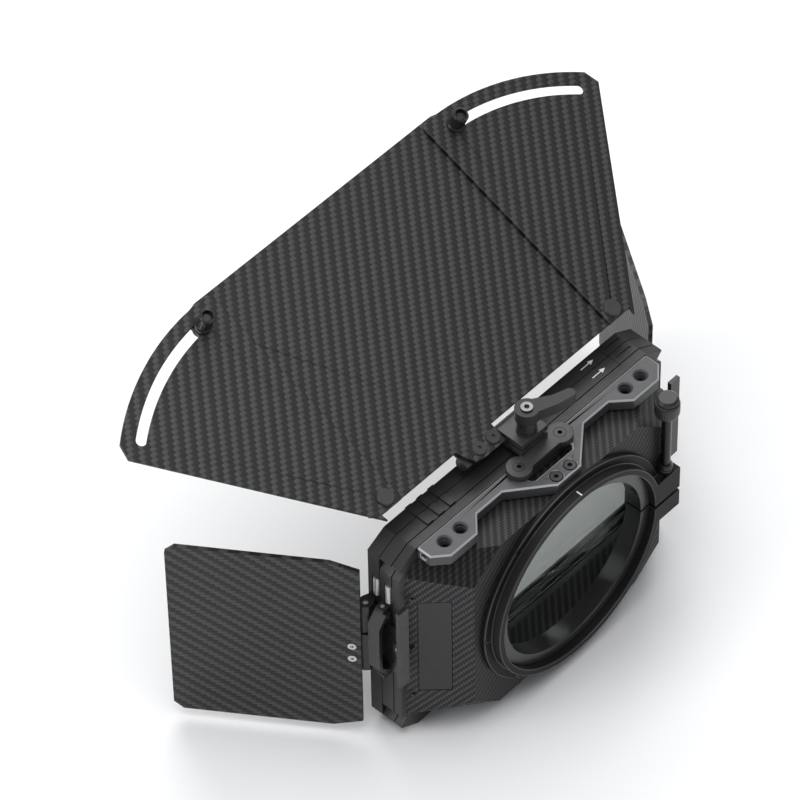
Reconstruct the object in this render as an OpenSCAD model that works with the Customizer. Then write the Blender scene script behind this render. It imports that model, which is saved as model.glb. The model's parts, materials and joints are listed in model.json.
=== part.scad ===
// Clip-on matte box for a cine lens: a carbon clad body on a lens clamp, two stacked 4 x 5.65 in
// filter trays, two folding side flags and a tilting top flag with two swing wings.
// Millimetres, +Z up, the front looks along -Y. The origin is on the lens axis, at the mouth of the
// clamp's inner ring, where the lens goes in. +X is the camera operator's left.

/* [Stage outline] */
// Width of the frame beside the glass
frame_w = 5.75; // [4.75:0.05:8.25]
// Height of the frame over and under the glass
frame_h = 4.2; // [3.7:0.05:7.2]
// Width of the cut corner
corner_x = 9.5; // [6:0.5:12]
// Height of the cut corner
corner_z = 5.4; // [3:0.1:6]
// Depth of the V notch beside each corner
notch_d = 3; // [1:0.1:3.6]
// Height of the V notch
notch_h = 6.4; // [4:0.1:8]
// Width of the window's edge over the glass, at each side
window_w = 1.1; // [0.75:0.05:2.75]
// Height of the window's edge over the glass, at top and bottom
window_h = 1.7; // [0.8:0.05:3.3]

/* [Filter glass] */
// Width of the glass
filter_w = 143.5; // [142:0.1:144]
// Height of the glass
filter_h = 101.6; // [100:0.1:102.2]
// Thickness of the glass
filter_t = 4; // [2:0.1:4.2]
// Play round the glass in its groove
filter_gap = 0.2; // [0.1:0.05:0.4]

/* [Trays] */
// Thickness of a tray
tray_t = 6; // [5.6:0.1:8]
// Gap between stacked stages
stage_gap = 0.3; // [0.2:0.05:0.6]
// Distance of the gate's seam from the tray's side
seam_x = 20.8; // [17.5:0.1:25.5]
// Length of a gate tongue
tongue_l = 14; // [10:0.5:18]
// Height of a gate tongue
tongue_h = 1.9; // [1.4:0.1:2]
// Depth of a gate tongue across the tray
tongue_t = 3; // [2:0.1:3.6]
// Play round a gate tongue
tongue_gap = 0.2; // [0.1:0.05:0.3]
// Number of grip ridges
ridge_n = 3; // [2:1:4]
// Pitch of the grip ridges
ridge_pitch = 6.4; // [5:0.1:7]
// Width of a grip ridge
ridge_w = 3.2; // [2:0.1:4]
// Height of a grip ridge
ridge_h = 0.8; // [0.4:0.1:1.2]
// Distance of the middle grip ridge from the tray's side
ridge_x = 29.5; // [23.5:0.5:37.5]
// Number of truss cells in a side bar
truss_n = 4; // [2:1:4]
// Pitch of the truss cells
truss_pitch = 14.6; // [10:0.1:15]
// Width of the truss pockets
truss_w = 3.4; // [2:0.1:3.6]
// Depth of the truss pockets
truss_d = 4; // [1:0.1:4.4]
// Thickness of the truss ribs
truss_rib = 0.9; // [0.6:0.05:1.4]
// Middle height of the truss
truss_z = -8.4; // [-12:0.1:-4]

/* [Detent rollers] */
// Radius of a roller
roller_r = 1.6; // [1.2:0.1:1.8]
// Length of a roller
roller_l = 10; // [6:0.5:12]
// Height of a roller's middle
roller_z = 30.5; // [29:0.5:32]
// How far a roller stands out of the side
roller_out = 0.7; // [0.4:0.1:1]
// Radius of a roller's trunnion
trunnion_r = 0.7; // [0.5:0.05:0.9]
// Length of a roller's trunnion
trunnion_l = 1.2; // [0.8:0.1:1.6]

/* [Rear tray latches] */
// Lowest point of the latch's finger loop
latch_bottom = -16; // [-20:0.5:-14]
// Highest point of the latch's finger loop
latch_top = 21.5; // [18:0.5:21.5]
// How far the loop stands out of the side
latch_out = 7.4; // [7.2:0.1:8.4]
// Thickness of the loop
latch_t = 1.5; // [1.2:0.1:1.6]
// Gap between a latch and the stages' sides
latch_gap = 0.5; // [0.4:0.05:0.6]
// Thickness of the latch's inner plate
latch_base = 0.9; // [0.8:0.05:1]
// Height that each end of the loop slants over
latch_slant = 6; // [4:0.5:8]
// How far the latch reaches behind the tray
latch_reach = 9.6; // [7:0.1:10.5]
// Thickness of the latch's rear plate
latch_rear_t = 1.8; // [1.2:0.1:2.4]
// Height of the latch's rear plate
latch_rear_h = 46; // [36:1:50]
// Middle height of the latch's rear plate
latch_rear_z = 9; // [5:0.5:12]
// Distance of the latch's pins from the tray's side
latch_pin_x = 2; // [1.9:0.05:2.3]
// Radius of the latch's pins
latch_pin_r = 0.8; // [0.6:0.05:0.9]
// Thickness of the ears that hold the pins
ear_t = 2.2; // [1.6:0.1:2.8]
// Height of the latch's small screw
latch_screw_z = 3; // [0:0.5:8]

/* [Body] */
// Thickness of the body's front plate
plate_t = 4.2; // [3.6:0.1:6]
// Depth of the carbon housing
housing_depth = 19.7; // [16:0.1:26]
// Wall of the housing
housing_wall = 3.2; // [2.8:0.1:3.6]
// How far the housing's side lies inside the plate's
house_x = 2.7; // [2.1:0.1:3.3]
// How far the housing's top lies under the plate's
house_z = 6; // [5.8:0.1:6.5]
// Height of the housing's cut corner at the front
house_side = 6; // [4:0.5:11]
// Width of the housing's cut corner at the front
house_top = 7.8; // [4.8:0.1:14.8]
// Half width of the housing at its rear
rear_x = 56; // [54:0.5:60]
// Half height of the housing's side at its rear
rear_side = 36; // [30:0.5:40]
// Half width of the flat top at the rear
rear_top = 41; // [38:0.5:46]
// Width of the side inlay
inlay_w = 13.2; // [10:0.1:16]
// Height of the side inlay
inlay_h = 55; // [40:0.5:58]
// Thickness of the side inlay
inlay_t = 0.9; // [0.6:0.1:1.4]
// Distance of the side inlay from the housing's front edge
inlay_s = 5.2; // [3:0.1:8]
// Play round the side inlay
inlay_gap = 0.25; // [0.1:0.05:0.4]

/* [Lens clamp] */
// Diameter of the lens front
lens_d = 80; // [70:0.5:84]
// Play between the open clamp and the lens, on the radius
lens_gap = 0.05; // [0.02:0.01:0.1]
// Radius of the clamp's bore
clamp_bore = 45.25; // [44.6:0.05:45.6]
// Outer radius of the clamp's rim
rim_r = 48.2; // [47.8:0.1:48.8]
// Length of the rim
rim_len = 4.4; // [3.6:0.1:6]
// Radius of the clamp's flange
flange_r = 52.2; // [51.8:0.1:53]
// Thickness of the flange
flange_t = 2.2; // [1.8:0.1:3]
// Width of the split in the clamp
split = 2; // [1.2:0.1:3]
// Play between the clamp and its inner ring
ring_gap = 0.05; // [0.03:0.01:0.1]
// Width of the inner ring
inner_len = 8; // [7:0.1:10]
// How far the inner ring sits inside the rim
inner_set = 3.4; // [2:0.1:3.6]
// Outer edge of the clamp's lugs
lug_x = 60.2; // [59.6:0.1:62]
// Height of the upper lug
lug_up = 12; // [9:0.5:14]
// Height of the lower lug
lug_low = 9; // [7:0.5:11]
// Depth of the lugs along the lens axis
lug_d = 8; // [7.4:0.1:9]
// Distance of the clamp screw from the lens axis
screw_x = 55.2; // [54.9:0.1:56]
// Radius of the clamp screw
screw_r = 2.1; // [1.8:0.05:2.2]
// Height of the clamp knob's underside
knob_z = 46; // [40:0.5:50]
// Radius of the clamp knob
knob_r = 5.1; // [4.6:0.1:6]
// Height of the clamp knob
knob_h = 11; // [8:0.5:13]
// Number of grooves in the clamp knob
knob_n = 20; // [12:1:24]

/* [Top bracket] */
// Thickness of the bracket
bracket_t = 6; // [5.6:0.1:7]
// Distance of the bracket's end from the plate's side
bracket_x = 10.1; // [9.5:0.1:10.7]
// How far the ears reach back
ear_y = 12.6; // [11.8:0.1:13.4]
// How far the arms reach back
arm_y = 9.2; // [8.8:0.1:9.8]
// Length of an ear
ear_l = 21.2; // [18:0.1:24]
// Width of the slope between ear and arm
ear_slope = 7.4; // [5:0.1:9]
// Width of the cut corners of the ears
ear_cut_x = 6.2; // [3:0.1:7]
// Depth of the cut corners of the ears
ear_cut_y = 5.4; // [3:0.1:7]
// How far the middle reaches back
mid_y = 19.4; // [18.6:0.1:19.5]
// Radius of the accessory holes' tapping bore
tap_r = 2.55; // [2.2:0.05:2.8]
// Distance of the outer accessory hole from the bracket's end
hole_x = 9.6; // [9:0.1:10.4]
// Spacing of each pair of accessory holes
hole_pitch = 9.2; // [8:0.1:9.6]
// Length of the bracket's slot
slot_l = 25; // [18:0.5:26]
// Width of the bracket's slot
slot_w = 5; // [4.4:0.1:5.4]
// Radius of a bracket screw's head
head_r = 2.4; // [2:0.1:2.6]
// Radius of a bracket screw's shank
shank_r = 1.2; // [1:0.1:1.4]
// Half spacing of the middle's screws
mid_x = 4; // [3.6:0.1:4.4]

/* [Flag clamp] */
// Height of the flag pin's axis over the bracket
pin_z = 6; // [5.9:0.1:8.7]
// How far the flag pin's axis lies ahead of the body plate
pin_ahead = 7.7; // [6:0.1:9]
// Radius of the flag pin
pin_r = 1.9; // [1.5:0.05:2.1]
// Running play of pins in their bores
pin_gap = 0.05; // [0.02:0.01:0.1]
// Outer radius of the clamp's eye
eye_r = 3.4; // [3.2:0.1:3.8]
// Width of the flag clamp
jaw_w = 15.2; // [12:0.1:15.6]
// Length of the flag clamp's leaves behind the eye
jaw_l = 13; // [12.4:0.1:15]
// Slit between the leaves
jaw_slit = 1.2; // [0.8:0.1:1.6]
// Thickness of the clamp's base
base_t = 3; // [2.6:0.1:3]
// Half spacing of the base screws
base_x = 12; // [11:0.1:13]
// Radius of the base's rounded ends
lobe_r = 5.4; // [4.6:0.1:5.8]
// Radius of the lever's bolt
bolt_r = 2; // [1.6:0.1:2.2]
// Radius of the lever's neck
neck_r = 4; // [3.4:0.1:4.2]
// Height of the lever's neck
neck_h = 6.6; // [5:0.1:8]
// Radius of the lever's hub
hub_r = 5; // [4.4:0.1:5.6]
// Height of the lever's hub
hub_h = 5.4; // [4.6:0.1:6.4]
// Length of the lever
lever_l = 21; // [17:0.5:24]
// Direction of the lever
lever_a = 23.6; // [0:0.5:30]

/* [Top flag] */
// Tilt of the top flag
flag_tilt = 22.6; // [10:0.1:30]
// How far the top flag's main panel lies inside the plate's side
panel_x = 1.5; // [-0.5:0.1:2]
// Depth of the main panel
panel_l = 111; // [108.5:0.5:116]
// Thickness of the main panel
panel_t = 2; // [1.6:0.1:2.6]
// Distance of the panel's rear edge from the pin
panel_set = 4.6; // [4:0.1:5]
// Height of the panel's underside over the pin's axis
panel_up = 2.9; // [2.9:0.1:3.4]
// Inner side of the hinge tab
tab_in = 8.8; // [8.6:0.1:9.6]
// Outer side of the hinge tab
tab_out = 29.5; // [27:0.5:32]
// How far the tab reaches behind the pin
tab_back = 4.2; // [3.8:0.1:5]
// Thickness of a wing
wing_t = 1.6; // [1.2:0.1:2]
// Gap between a wing and the panel
wing_gap = 0.2; // [0.15:0.05:0.3]
// Distance of a wing's rivet from the panel's side
rivet_x = 9.6; // [9:0.1:10.5]
// Distance of a wing's rivet from the panel's rear edge
rivet_y = 4; // [3.6:0.1:5]
// Radius of the wings' outer arc
wing_r = 106; // [104:0.5:107]
// Opening angle of a wing's two edges
wing_a = 37.7; // [34:0.1:38]
// Offset of a wing's inner edge from its rivet
wing_in = 5.5; // [4.5:0.1:6]
// Offset of a wing's outer edge from its rivet
wing_out = 9.3; // [8:0.1:9.6]
// Radius of the arc slot
arc_r = 98; // [95:0.5:99]
// Width of the arc slot
arc_w = 4.4; // [3.8:0.1:5]
// Angle of the thumb nut's stud
stud_a = 3.8; // [3:0.1:4.4]
// Swing of a wing
swing = 34; // [28:0.5:34]
// Radius of the studs
stud_r = 1.5; // [1.2:0.05:1.6]
// Radius of the thumb nuts
nut_r = 3.3; // [3:0.1:3.8]
// Height of the thumb nuts
nut_h = 8.6; // [6:0.1:9.5]
// Radius of the rivet heads
rivet_head = 3.9; // [3.2:0.1:4.2]
// Radius of the rivet shanks
rivet_r = 2; // [1.6:0.05:2.2]

/* [Side flags] */
// Height of a side flag
side_h = 102; // [94:0.5:104]
// Length of a side flag
side_l = 77; // [70:0.5:78]
// Thickness of a side flag
side_t = 1.8; // [1.4:0.1:2.2]
// Opening angle of a side flag
side_a = 34.5; // [20:0.5:40]
// Distance of the hinge axis from the tray's side
axis_out = 4.2; // [4:0.1:4.6]
// Distance of the hinge axis behind the tray's front
axis_in = 2.2; // [2:0.05:2.2]
// Radius of the hinge barrel
barrel_r = 2.3; // [2:0.05:2.4]
// Length of the hinge barrel
barrel_l = 16; // [12:0.5:18]
// Middle height of the hinge barrel
barrel_z = -1.6; // [-4:0.1:0]
// Radius of the hinge pin
hinge_r = 1.1; // [0.8:0.05:1.2]
// Height of the upper lug
upper_lug = 16; // [12:0.5:17]
// Height of the lower lug
lower_lug = 7; // [5:0.5:9]
// Gap between the barrel and the lugs
lug_gap = 0.35; // [0.2:0.05:0.6]
// Thickness of the hinge leaf
leaf_t = 1; // [0.8:0.1:1]
// Length of the hinge leaf
leaf_l = 12; // [9:0.5:16]
// Distance of the flag's inner edge from the axis
edge_set = 1.3; // [0.8:0.1:2]
// Radius of the hinge bracket screws' heads
lug_head_r = 1.2; // [1:0.1:1.3]
// Length of the hinge bracket screws
lug_screw_l = 3.6; // [3:0.1:3.8]
// Distance of the hinge bracket screws from the lugs
lug_screw_in = 4.2; // [3.4:0.1:5]
// Spacing of the side flag's screws
side_pitch = 7.6; // [6:0.1:9]

/* [Hidden] */
$fn = 64;

black = [0.14, 0.14, 0.15];
carbon = [0.22, 0.22, 0.23];
grey = [0.42, 0.42, 0.43];
silver = [0.78, 0.78, 0.79];
steel = [0.55, 0.55, 0.56];
glass = [0.82, 0.86, 0.88, 0.5];

hw = filter_w / 2 + frame_w;
hh = filter_h / 2 + frame_h;
window_x = filter_w / 2 - window_w;
window_z = filter_h / 2 - window_h;
seam = hw - seam_x;
side_x = hw - house_x;
top_z = max(hh - house_z, clamp_bore + housing_wall + 0.5);
corner_side = top_z - house_side;
corner_top = side_x - house_top;
big = 400;

// Stations along the lens axis, each the rear face of its piece
y_rim = inner_set;
y_wall = y_rim - rim_len - flange_t;
y_house = y_wall - housing_depth;
y_front = y_house - plate_t;
y_rear_tray = y_front - stage_gap;
y_front_tray = y_rear_tray - tray_t - stage_gap;
y_tray_face = y_front_tray - tray_t;

slot_t = filter_t + 2 * filter_gap;
bar_z = (filter_h / 2 + filter_gap + hh) / 2;
bracket_z = top_z + 0.3;
bracket_top = bracket_z + bracket_t;
y_pin = y_front - pin_ahead;
jaw_x = jaw_w / 2;
y_jaw = y_pin + jaw_l;
z_pin = bracket_top + pin_z;
jaw_low = z_pin - eye_r;
jaw_top = z_pin + eye_r;
base_top = bracket_top + base_t;
base_screw_l = base_t + 3.6;
y_bolt = y_jaw - neck_r - 0.4;
y_base = y_house + lobe_r - 1.8;
washer_t = 0.8;
lever_z = jaw_top + washer_t + 0.4;
y_slot = y_house + ear_y - slot_w / 2 - 1.4;
y_mid_screw = y_house + mid_y - 3.4;
y_hole = y_house + 5.8;
end_x = hw - bracket_x;
hole_out = end_x - hole_x;
mid_screw_l = bracket_t + 2.4;
mid_top = 7;
arm_x = 22;
wing_z = panel_up + panel_t + wing_gap;
nut_z = wing_z + wing_t + wing_gap;
flag_side = hw - panel_x;
pivot_x = flag_side - rivet_x;
rivet_v = panel_set + rivet_y;
stud_x = pivot_x + arc_r * sin(stud_a);
stud_v = rivet_v + arc_r * cos(stud_a);
axis_x = hw + axis_out;
y_axis = y_tray_face + axis_in;
leaf_x = barrel_r + 0.2;
flag_x = leaf_x + leaf_t;
barrel_low = barrel_z - barrel_l / 2;
barrel_high = barrel_z + barrel_l / 2;
side_screw_z = barrel_z - 2;
frame_screw_x = side_x - housing_wall / 2;
frame_screw_z = [-30, 0, 30];
ring_screw_r = (rim_r + flange_r) / 2;
ring_screw_a = [-50, 0, 50];
y_screw = y_rim - lug_d / 2;
y_latch = y_rear_tray - tray_t / 2;
latch_ear_gap = 0.3;
latch_pin = latch_pin_r + pin_gap;

// Helpers

function rev(a) = [for (i = [len(a) - 1:-1:0]) a[i]];
function flip_z(a) = [for (p = a) [p[0], -p[1]]];
function flip_x(a) = [for (p = a) [-p[0], p[1]]];
function ring_of(q) = concat(q, rev(flip_z(q)), flip_x(flip_z(q)), rev(flip_x(q)));
function arc(r, a0, a1, n) = [for (i = [0:n]) r * [sin(a0 + (a1 - a0) * i / n),
    cos(a0 + (a1 - a0) * i / n)]];

// A plate in the XZ plane whose rear face is at y
module plate(y, t) {
    translate([0, y, 0]) rotate([90, 0, 0]) linear_extrude(t) children();
}

// A bar along Y from its rear face at y
module rod_y(x, y, z, r, l) {
    translate([x, y, z]) rotate([90, 0, 0]) cylinder(r = r, h = l);
}

module right() {
    mirror([1, 0, 0]) children();
}

// A countersunk screw whose head is flush with z = 0 and whose shank points down
module flat_screw(head, shank, length) {
    difference() {
        union() {
            rotate_extrude() polygon([[0, 0], [head, 0], [head, -0.3],
                [shank, -0.3 - (head - shank)], [shank, -length], [0, -length]]);
        }
        translate([0, 0, -head * 0.55]) cylinder(r = head * 0.45, h = head, $fn = 6);
    }
}

// The seat that such a screw needs, a little larger all round
module screw_seat(head, shank, length) {
    play = 0.06;
    rotate_extrude() polygon([[0, 1], [head + play, 1], [head + play, -0.3 - play],
        [shank + play, -0.3 - (head - shank) - play], [shank + play, -length - play],
        [0, -length - play]]);
}

// Stages

function corner(notched) = concat(
    [[hw - corner_x, hh], [hw, hh - corner_z]],
    notched ? [[hw, hh - corner_z - 0.7], [hw - notch_d, hh - corner_z - 0.7 - notch_h / 2],
        [hw, hh - corner_z - 0.7 - notch_h]] : []);

module stage_outline(notched) {
    polygon(ring_of(corner(notched)));
}

module window() {
    square([2 * window_x, 2 * window_z], center = true);
}

// One truss cell: two triangles on each side of a slanting rib
module truss_cell() {
    a = truss_w / 2;
    b = (truss_pitch - truss_rib) / 2;
    lean = truss_rib * sqrt(1 + pow(b / a, 2));
    polygon([[-a, -b + lean], [a, b], [-a, b]]);
    polygon([[-a, -b], [a, -b], [a, b - lean]]);
}

module truss() {
    wall_x = (filter_w / 2 + filter_gap + hw) / 2;
    for (i = [0:truss_n - 1])
        translate([wall_x, truss_z + (i - (truss_n - 1) / 2) * truss_pitch]) truss_cell();
}

module ridges(y) {
    for (i = [0:ridge_n - 1])
        translate([hw - ridge_x + (i - (ridge_n - 1) / 2) * ridge_pitch - ridge_w / 2,
            y - tray_t, -hh - ridge_h])
            cube([ridge_w, tray_t, 2 * hh + 2 * ridge_h]);
}

module roller_place(y) {
    translate([hw + roller_out - roller_r, y - roller_r - 0.3, roller_z]) children();
}

// The pocket and the two trunnion holes of one side's detent roller
module roller_pocket(y) {
    roller_place(y) {
        translate([-roller_r - 0.3, -roller_r - 0.3, -roller_l / 2 - 0.3])
            cube([2 * roller_r + 2, 2 * roller_r + 2, roller_l + 0.6]);
        translate([0, 0, -roller_l / 2 - trunnion_l - 0.2])
            cylinder(r = trunnion_r + pin_gap, h = roller_l + 2 * trunnion_l + 0.4);
    }
}

// The full tray, before it is parted into frame and gate
module tray_blank(y, notched) {
    difference() {
        union() {
            plate(y, tray_t) difference() {
                stage_outline(notched);
                window();
            }
            difference() {
                ridges(y);
                translate([-big / 2, y - tray_t - 1, -window_z])
                    cube([big, tray_t + 2, 2 * window_z]);
            }
        }
        translate([-filter_w / 2 - filter_gap, y - tray_t / 2 - slot_t / 2,
            -filter_h / 2 - filter_gap])
            cube([filter_w + 2 * filter_gap, slot_t, filter_h + 2 * filter_gap]);
        plate(y + 0.01, truss_d) truss();
        plate(y + 0.01, truss_d) mirror([1, 0]) truss();
        roller_pocket(y);
        right() roller_pocket(y);
    }
}

// The gate's two tongues, or with play the grooves that they slide in
module tongues(y, play) {
    for (s = [-1, 1])
        translate([-seam - 4, y - tray_t / 2 - tongue_t / 2 - play,
            s * bar_z - tongue_h / 2 - play])
            cube([tongue_l + 4 + play, tongue_t + 2 * play, tongue_h + 2 * play]);
}

module tray_frame(y, notched) {
    difference() {
        tray_blank(y, notched);
        translate([-big - seam, y - tray_t - 1, -big / 2]) cube([big, tray_t + 2, big]);
        tongues(y, tongue_gap);
    }
}

module tray_gate(y, notched) {
    difference() {
        tray_blank(y, notched);
        translate([-seam - tongue_gap, y - tray_t - 1, -big / 2])
            cube([big, tray_t + 2, big]);
        // the short rail groove along the gate's top
        translate([-seam - 10, y - tray_t / 2 - 0.5, hh - 0.5]) cube([8, 1, 1]);
    }
    tongues(y, 0);
}

module filter_pane(y) {
    translate([-filter_w / 2, y - tray_t / 2 - filter_t / 2, -filter_h / 2])
        cube([filter_w, filter_t, filter_h]);
}

module roller(y) {
    roller_place(y) {
        translate([0, 0, -roller_l / 2]) cylinder(r = roller_r, h = roller_l);
        translate([0, 0, -roller_l / 2 - trunnion_l])
            cylinder(r = trunnion_r, h = roller_l + 2 * trunnion_l);
    }
}

// Body

module body_frame() {
    color(black) difference() {
        plate(y_house, plate_t) difference() {
            stage_outline(true);
            window();
        }
        for (s = [-1, 1], z = frame_screw_z)
            translate([s * frame_screw_x, y_front, z]) rotate([90, 0, 0])
                screw_seat(1.5, 0.8, plate_t + 3);
    }
}

module frame_screws() {
    color(steel) for (s = [-1, 1], z = frame_screw_z)
        translate([s * frame_screw_x, y_front, z]) rotate([90, 0, 0])
            flat_screw(1.5, 0.8, plate_t + 3);
}

function house_front(w) = ring_of([[corner_top - w * 0.6, top_z - w],
    [side_x - w, corner_side - w * 0.6]]);
function house_rear(w) = ring_of([[rear_top - w * 0.6, top_z - w],
    [rear_x - w, rear_side - w * 0.6]]);

// The tapered housing form, drawn in by w
module house_form(w, y0, y1) {
    hull() {
        plate(y0, 0.01) polygon(house_rear(w));
        plate(y1 + 0.01, 0.01) polygon(house_front(w));
    }
}

// A frame on the housing's slanting left side: X runs back along it, +Y points inward
module on_side() {
    translate([side_x, y_house, 0])
        rotate([0, 0, atan2(housing_depth, rear_x - side_x)]) children();
}

module inlay_plate(play, depth) {
    on_side() translate([inlay_s - play, -1, -inlay_h / 2 - play])
        cube([inlay_w + 2 * play, depth + 1, inlay_h + 2 * play]);
}

module rear_housing() {
    color(carbon) difference() {
        house_form(0, y_wall, y_house);
        house_form(housing_wall, y_wall - housing_wall, y_house - 0.02);
        rod_y(0, y_wall + 1, 0, clamp_bore, housing_wall + 2, $fn = 128);
        inlay_plate(inlay_gap, inlay_t);
        right() inlay_plate(inlay_gap, inlay_t);
        for (s = [-1, 1], z = frame_screw_z)
            translate([s * frame_screw_x, y_front, z]) rotate([90, 0, 0])
                screw_seat(1.5, 0.8, plate_t + 3);
        ring_screws() screw_seat(1.6, 0.8, flange_t + 2);
        for (s = [-1, 1])
            translate([s * mid_x, y_mid_screw, bracket_top])
                screw_seat(head_r, shank_r, mid_screw_l);
        // recess for the clamp's lugs
        translate([-lug_x - 1, y_rim - lug_d - lug_gap, -lug_low - split / 2 - lug_gap])
            cube([lug_x + 1 - clamp_bore, lug_d, lug_low + lug_up + split + 2 * lug_gap]);
    }
}

module inlay_left() {
    color(black) intersection() {
        inlay_plate(0, inlay_t - 0.05);
        on_side() translate([inlay_s, 0.05, -inlay_h / 2]) cube([inlay_w, inlay_t, inlay_h]);
    }
}

module inlay_right() {
    right() inlay_left();
}

// Lens clamp

// Places children at the flange screws: the axis points forward, z = 0 on the flange's rear
module ring_screws() {
    for (a = ring_screw_a)
        translate([ring_screw_r * cos(a), y_rim - rim_len, ring_screw_r * sin(a)])
            rotate([-90, 0, 0]) children();
}

module clamp_lug(z0, h) {
    translate([-lug_x, y_rim - lug_d, z0]) cube([lug_x - rim_r + 2, lug_d, h]);
}

module clamp_ring() {
    color(black) difference() {
        union() {
            rod_y(0, y_rim - rim_len, 0, flange_r, flange_t, $fn = 128);
            rod_y(0, y_rim, 0, rim_r, rim_len + 0.01, $fn = 128);
            clamp_lug(split / 2, lug_up);
            clamp_lug(-split / 2 - lug_low, lug_low);
        }
        rod_y(0, y_rim + 1, 0, clamp_bore, lug_d + 4, $fn = 128);
        translate([-lug_x - 1, y_rim - lug_d - 1, -split / 2])
            cube([lug_x - clamp_bore + 3, lug_d + 2, split]);
        translate([-screw_x, y_screw, -split / 2 - lug_low - 1])
            cylinder(r = screw_r + pin_gap, h = lug_low + split + 1);
        translate([-screw_x, y_screw, 0]) cylinder(r = screw_r + 0.2, h = lug_up + split);
        ring_screws() screw_seat(1.6, 0.8, flange_t + 2);
    }
}

module clamp_ring_screws() {
    color(steel) ring_screws() flat_screw(1.6, 0.8, flange_t + 2);
}

module inner_ring() {
    color(black) difference() {
        rod_y(0, 0, 0, clamp_bore - ring_gap, inner_len, $fn = 128);
        rod_y(0, 1, 0, lens_d / 2 + lens_gap, inner_len + 2, $fn = 128);
        translate([-clamp_bore - 1, -inner_len - 1, -split / 3])
            cube([clamp_bore, inner_len + 2, split / 1.5]);
    }
}

module ring_clamp_screw() {
    color(steel) translate([-screw_x, y_screw, -split / 2 - lug_low + 0.6])
        cylinder(r = screw_r, h = knob_z + 4 + split / 2 + lug_low - 0.6);
}

module ring_clamp_knob() {
    color(black) translate([-screw_x, y_screw, knob_z]) difference() {
        rotate_extrude() polygon([[0, 0], [knob_r - 0.6, 0], [knob_r, 0.6],
            [knob_r, knob_h - 0.8], [knob_r - 0.8, knob_h], [0, knob_h]]);
        translate([0, 0, -1]) cylinder(r = screw_r, h = 5);
        for (i = [0:knob_n - 1])
            rotate([0, 0, i * 360 / knob_n]) translate([knob_r + 0.1, 0, 1.4])
                cylinder(r = 0.45, h = knob_h - 3, $fn = 16);
        translate([0, 0, knob_h - 1.2]) cylinder(r = 1.6, h = 2, $fn = 6);
    }
}

// Top bracket

bracket_half = [[0, 0], [end_x, 0], [end_x, ear_y - ear_cut_y], [end_x - ear_cut_x, ear_y],
    [end_x - ear_l, ear_y], [end_x - ear_l - ear_slope, arm_y - 3.6], [arm_x + 2, arm_y - 3.6],
    [mid_top + 1, mid_y - 1], [mid_top, mid_y], [0, mid_y]];

module bracket_outline() {
    polygon(bracket_half);
    mirror([1, 0]) polygon(bracket_half);
}

module top_bracket() {
    color(grey) difference() {
        translate([0, y_house, bracket_z]) linear_extrude(bracket_t) bracket_outline();
        for (s = [-1, 1], x = [hole_out, hole_out - hole_pitch])
            translate([s * x, y_hole, bracket_z - 1]) {
                cylinder(r = tap_r, h = bracket_t + 2);
                translate([0, 0, bracket_t + 0.4])
                    cylinder(r1 = tap_r, r2 = tap_r + 0.8, h = 0.7);
            }
        translate([0, y_slot, bracket_z - 1]) linear_extrude(bracket_t + 2)
            polygon(ring_of([[slot_l / 2 - 1.6, slot_w / 2], [slot_l / 2, slot_w / 2 - 1.6]]));
        for (s = [-1, 1]) {
            translate([s * mid_x, y_mid_screw, bracket_top])
                screw_seat(head_r, shank_r, mid_screw_l);
            translate([s * base_x, y_base, base_top])
                screw_seat(head_r, shank_r, base_screw_l);
            // tapped holes in the ends
            translate([s * (end_x + 1), y_house + 3.4, bracket_z + bracket_t / 2])
                rotate([0, -s * 90, 0]) cylinder(r = 1.25, h = 5);
        }
    }
}

module bracket_screws() {
    color(black) for (s = [-1, 1])
        translate([s * mid_x, y_mid_screw, bracket_top])
            flat_screw(head_r, shank_r, mid_screw_l);
}

// Flag clamp

// Side outline of the C shaped leaves, drawn as Y and Z about the pin's axis
module jaw_profile() {
    difference() {
        union() {
            circle(r = eye_r);
            translate([0, -eye_r]) square([jaw_l, 2 * eye_r]);
        }
        circle(r = pin_r + pin_gap);
        translate([0, -jaw_slit / 2]) square([jaw_l + 1, jaw_slit]);
    }
}

module flag_clamp() {
    color(grey) difference() {
        union() {
            translate([-jaw_x, y_pin, z_pin]) rotate([90, 0, 90]) linear_extrude(jaw_w)
                jaw_profile();
            translate([0, 0, bracket_top]) linear_extrude(base_t) {
                for (s = [-1, 1]) translate([s * base_x, y_base]) circle(r = lobe_r);
                translate([-base_x, y_base - 3.6]) square([2 * base_x, 7.2]);
            }
            // riser from the base to the lower leaf
            translate([-jaw_x, y_base - 3.6, bracket_top])
                cube([jaw_w, y_jaw - y_base + 3.6, jaw_low - bracket_top + 0.5]);
        }
        for (s = [-1, 1]) translate([s * base_x, y_base, base_top])
            screw_seat(head_r, shank_r, base_screw_l);
        translate([0, y_bolt, jaw_low - 1]) cylinder(r = bolt_r + pin_gap, h = 3 * eye_r);
        // room for the screw heads beside the leaves
        for (s = [-1, 1]) translate([s * base_x, y_base, base_top])
            cylinder(r = head_r + 0.6, h = 3 * eye_r);
    }
}

module flag_clamp_screws() {
    color(black) for (s = [-1, 1])
        translate([s * base_x, y_base, base_top])
            flat_screw(head_r, shank_r, base_screw_l);
}

module lever_bolt() {
    color(steel) translate([0, y_bolt, jaw_low - 0.9])
        cylinder(r = bolt_r, h = lever_z + neck_h + 1.4 - jaw_low + 0.9);
}

module lever_washer() {
    color(silver) translate([0, y_bolt, jaw_top + 0.1]) difference() {
        cylinder(r = neck_r + 0.3, h = washer_t);
        translate([0, 0, -1]) cylinder(r = bolt_r + pin_gap, h = washer_t + 2);
    }
}

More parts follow.
